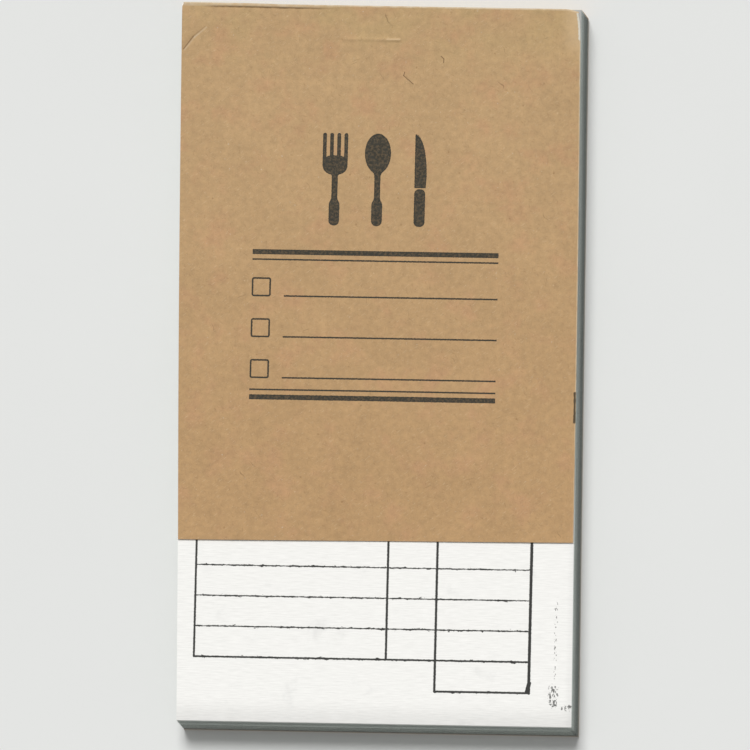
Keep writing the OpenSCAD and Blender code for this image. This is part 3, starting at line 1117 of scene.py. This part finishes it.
wrap = kraft_wrap(
    [
        kraft_paper("printed_kraft", outer=True),
        kraft_paper("plain_kraft"),
        kraft_paper("kraft_cut_edge", core=True),
    ]
)
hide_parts("front_cover", "spine_strip", "back_cover")
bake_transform(wrap)


# Finishes of the pieces that stay as they are in the frame

def coat(material, *nodes):
    for node in nodes:
        piece = frame["nodes"][node]
        if not piece.material_slots:
            piece.data.materials.append(material)
        for slot in piece.material_slots:
            slot.material = material


check_sets = [name for name in frame["nodes"] if name.startswith("check_set_")]
coat(check_paper("white_original", ORIGINAL, ORIGINAL_EDGE), "top_original", "original_stub")
coat(check_paper("green_copy", COPY, COPY_EDGE), "top_copy", "copy_stub")
coat(check_paper("check_stack", ORIGINAL, ORIGINAL_EDGE, COPY, COPY_EDGE), *check_sets)
coat(grey_board(), "backing_board")
coat(padding_glue(), "spine_glue")
coat(stitching_wire(), "staple")


# Floor and light

FLOOR_HALF = 6.0
FLOOR_COLOUR = linear(228, 229, 227)
AMBIENT = 0.32
KEY_FROM = (-0.22, 0.74, 1.25)
KEY_SPREAD = radians(24)
KEY_STRENGTH = 2.5


def pale_floor():
    finish = Finish("pale_floor", roughness=0.9, specular=0.1)
    tone = finish.around(finish.noise(finish.object_mm(), 0.02, 3.0), 0.03, 1.0)
    mesh = bmesh.new()
    bmesh.ops.create_grid(mesh, x_segments=4, y_segments=4, size=FLOOR_HALF)
    floor = as_object("floor", mesh, [finish.done(finish.toned(FLOOR_COLOUR[:3], tone))])


def soft_key():
    """One wide light, so far off that it is as strong all over the floor."""
    light = bpy.data.lights.new("key", "SUN")
    light.energy = KEY_STRENGTH
    light.angle = KEY_SPREAD
    lamp = in_scene("key", light)
    lamp.location = KEY_FROM
    lamp.rotation_euler = Vector(KEY_FROM).to_track_quat("Z", "Y").to_euler()


def even_world():
    """Even light from all round, and a pale backdrop for what is seen, mirrored or seen through."""
    world = bpy.data.worlds.new("even_light")
    world.use_nodes = True
    bpy.context.scene.world = world
    tree = world.node_tree
    tree.nodes.clear()
    path = tree.nodes.new("ShaderNodeLightPath")
    seen = path.outputs["Is Camera Ray"]
    for way in ("Is Glossy Ray", "Is Transmission Ray"):
        either = tree.nodes.new("ShaderNodeMath")
        either.operation = "MAXIMUM"
        tree.links.new(seen, either.inputs[0])
        tree.links.new(path.outputs[way], either.inputs[1])
        seen = either.outputs[0]
    ambient = tree.nodes.new("ShaderNodeBackground")
    ambient.inputs["Strength"].default_value = AMBIENT
    ambient.inputs["Color"].default_value = (1.0, 1.0, 1.0, 1.0)
    backdrop = tree.nodes.new("ShaderNodeBackground")
    backdrop.inputs["Color"].default_value = FLOOR_COLOUR
    mixed = tree.nodes.new("ShaderNodeMixShader")
    tree.links.new(seen, mixed.inputs[0])
    tree.links.new(ambient.outputs[0], mixed.inputs[1])
    tree.links.new(backdrop.outputs[0], mixed.inputs[2])
    tree.links.new(mixed.outputs[0], tree.nodes.new("ShaderNodeOutputWorld").inputs["Surface"])


# The camera looks almost straight down, from a little to the right of the pad and below it

PICTURE_PX = 750
PX_PER_MM = 5.0187
ORIGIN_PX = (380.95, 371.16)
TILT_RIGHT = radians(3.0)
TILT_BELOW = radians(7.1)
ROLL = radians(1.38)
LENS = 1000.0
SENSOR = 36.0
CLIP_NEAR = 0.1
CLIP_FAR = 30.0


def overhead_camera():
    back = Vector((tan(TILT_RIGHT), -tan(TILT_BELOW), 1.0)).normalized()
    level_up = (Vector((0, 1, 0)) - back * back.y).normalized()
    level_right = level_up.cross(back)
    right = level_right * cos(ROLL) + level_up * sin(ROLL)
    up = level_up * cos(ROLL) - level_right * sin(ROLL)
    aim_right = (PICTURE_PX / 2 - ORIGIN_PX[0]) / PX_PER_MM * MM
    aim_up = (ORIGIN_PX[1] - PICTURE_PX / 2) / PX_PER_MM * MM
    distance = PICTURE_PX / PX_PER_MM * MM * LENS / SENSOR

    data = bpy.data.cameras.new("camera")
    data.lens = LENS
    data.sensor_width = SENSOR
    data.clip_start = CLIP_NEAR
    data.clip_end = CLIP_FAR
    camera = in_scene("camera", data)
    place = Matrix.Translation(right * aim_right + up * aim_up + back * distance)
    camera.matrix_world = place @ Matrix((right, up, back)).transposed().to_4x4()
    bpy.context.scene.camera = camera


pale_floor()
soft_key()
even_world()
overhead_camera()
bpy.context.scene.view_settings.view_transform = "Standard"
